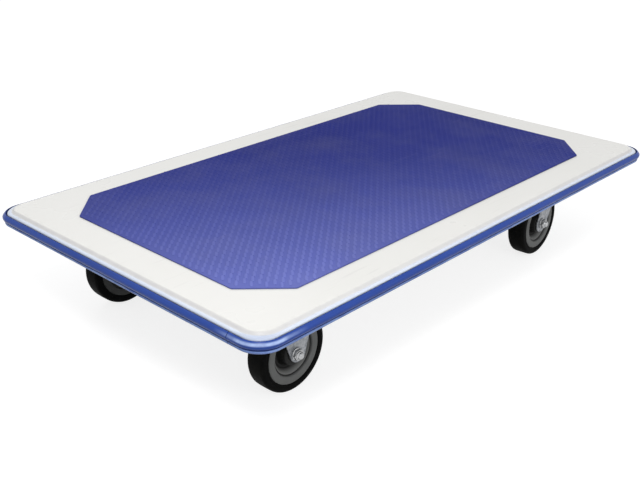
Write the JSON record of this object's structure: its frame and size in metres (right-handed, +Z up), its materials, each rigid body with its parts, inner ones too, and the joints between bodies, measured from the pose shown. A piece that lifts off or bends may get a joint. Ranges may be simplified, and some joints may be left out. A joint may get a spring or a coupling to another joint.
{
  "type": "platform trolley",
  "caption": "Flat platform trolley: pressed white steel deck with a blue anti-slip mat and a blue bumper, on fixed and swivel casters.",
  "frame": {"origin": "on the floor under the middle of the deck", "axes": "+X along the deck from the fixed casters to the swivel casters, +Y to the left side, +Z up"},
  "size_m": [1.02, 0.62, 0.1829],
  "materials": {
    "deck_paint": "white gloss enamel on pressed steel sheet, lightly worn at its edges",
    "anti_slip_mat": "embossed blue vinyl matting with a fine raised anti-slip pattern",
    "bumper_vinyl": "glossy blue extruded vinyl",
    "underframe_paint": "grey primer paint on folded steel sheet",
    "zinc_steel": "dull zinc-plated pressed steel",
    "bright_fasteners": "bright zinc-plated bolts and nuts",
    "bearing_steel": "ground bearing steel, greased",
    "wheel_hub": "dark grey moulded nylon",
    "tyre_rubber": "black rubber tyre, dusty on the tread"
  },
  "bodies": {
    "deck": {"deck_pan": "deck_paint", "deck_mat": "anti_slip_mat", "bumper_strip": "bumper_vinyl", "fixed_end_channel": "underframe_paint", "swivel_end_channel": "underframe_paint", "right_stiffener": "underframe_paint", "left_stiffener": "underframe_paint", "fixed_right_bracket": "zinc_steel", "fixed_right_axle": "bright_fasteners", "fixed_right_axle_nut": "bright_fasteners", "fixed_right_sleeve": "bearing_steel", "fixed_right_bolt_1": "bright_fasteners", "fixed_right_bolt_2": "bright_fasteners", "fixed_right_bolt_3": "bright_fasteners", "fixed_right_bolt_4": "bright_fasteners", "fixed_left_bracket": "zinc_steel", "fixed_left_axle": "bright_fasteners", "fixed_left_axle_nut": "bright_fasteners", "fixed_left_sleeve": "bearing_steel", "fixed_left_bolt_1": "bright_fasteners", "fixed_left_bolt_2": "bright_fasteners", "fixed_left_bolt_3": "bright_fasteners", "fixed_left_bolt_4": "bright_fasteners", "swivel_right_plate": "zinc_steel", "swivel_right_kingpin": "bright_fasteners", "swivel_right_kingpin_nut": "bright_fasteners", "swivel_right_bolt_1": "bright_fasteners", "swivel_right_bolt_2": "bright_fasteners", "swivel_right_bolt_3": "bright_fasteners", "swivel_right_bolt_4": "bright_fasteners", "swivel_left_plate": "zinc_steel", "swivel_left_kingpin": "bright_fasteners", "swivel_left_kingpin_nut": "bright_fasteners", "swivel_left_bolt_1": "bright_fasteners", "swivel_left_bolt_2": "bright_fasteners", "swivel_left_bolt_3": "bright_fasteners", "swivel_left_bolt_4": "bright_fasteners"},
    "wheel_fixed_right": {"fixed_right_hub": "wheel_hub", "fixed_right_tyre": "tyre_rubber", "fixed_right_roller_cage": "bearing_steel"},
    "wheel_fixed_left": {"fixed_left_hub": "wheel_hub", "fixed_left_tyre": "tyre_rubber", "fixed_left_roller_cage": "bearing_steel"},
    "fork_swivel_right": {"swivel_right_fork": "zinc_steel", "swivel_right_ball_ring": "bearing_steel", "swivel_right_axle": "bright_fasteners", "swivel_right_axle_nut": "bright_fasteners", "swivel_right_sleeve": "bearing_steel"},
    "wheel_swivel_right": {"swivel_right_hub": "wheel_hub", "swivel_right_tyre": "tyre_rubber", "swivel_right_roller_cage": "bearing_steel"},
    "fork_swivel_left": {"swivel_left_fork": "zinc_steel", "swivel_left_ball_ring": "bearing_steel", "swivel_left_axle": "bright_fasteners", "swivel_left_axle_nut": "bright_fasteners", "swivel_left_sleeve": "bearing_steel"},
    "wheel_swivel_left": {"swivel_left_hub": "wheel_hub", "swivel_left_tyre": "tyre_rubber", "swivel_left_roller_cage": "bearing_steel"}
  },
  "joints": [
    {"name": "fixed_right_wheel_spin", "type": "hinge", "parent": "deck", "child": "wheel_fixed_right", "pos_m": [-0.353, -0.196, 0.0625], "axis": [0, 1, 0], "continuous": true},
    {"name": "fixed_left_wheel_spin", "type": "hinge", "parent": "deck", "child": "wheel_fixed_left", "pos_m": [-0.353, 0.196, 0.0625], "axis": [0, 1, 0], "continuous": true},
    {"name": "swivel_right_turn", "type": "hinge", "parent": "deck", "child": "fork_swivel_right", "pos_m": [0.335, -0.199, 0.15], "axis": [0, 0, 1], "continuous": true},
    {"name": "swivel_right_wheel_spin", "type": "hinge", "parent": "fork_swivel_right", "child": "wheel_swivel_right", "pos_m": [0.29306, -0.2012, 0.0625], "axis": [-0.0523, 0.9986, 0], "continuous": true},
    {"name": "swivel_left_turn", "type": "hinge", "parent": "deck", "child": "fork_swivel_left", "pos_m": [0.335, 0.199, 0.15], "axis": [0, 0, 1], "continuous": true},
    {"name": "swivel_left_wheel_spin", "type": "hinge", "parent": "fork_swivel_left", "child": "wheel_swivel_left", "pos_m": [0.29316, 0.19534, 0.0625], "axis": [-0.0872, 0.9962, 0], "continuous": true}
  ]
}
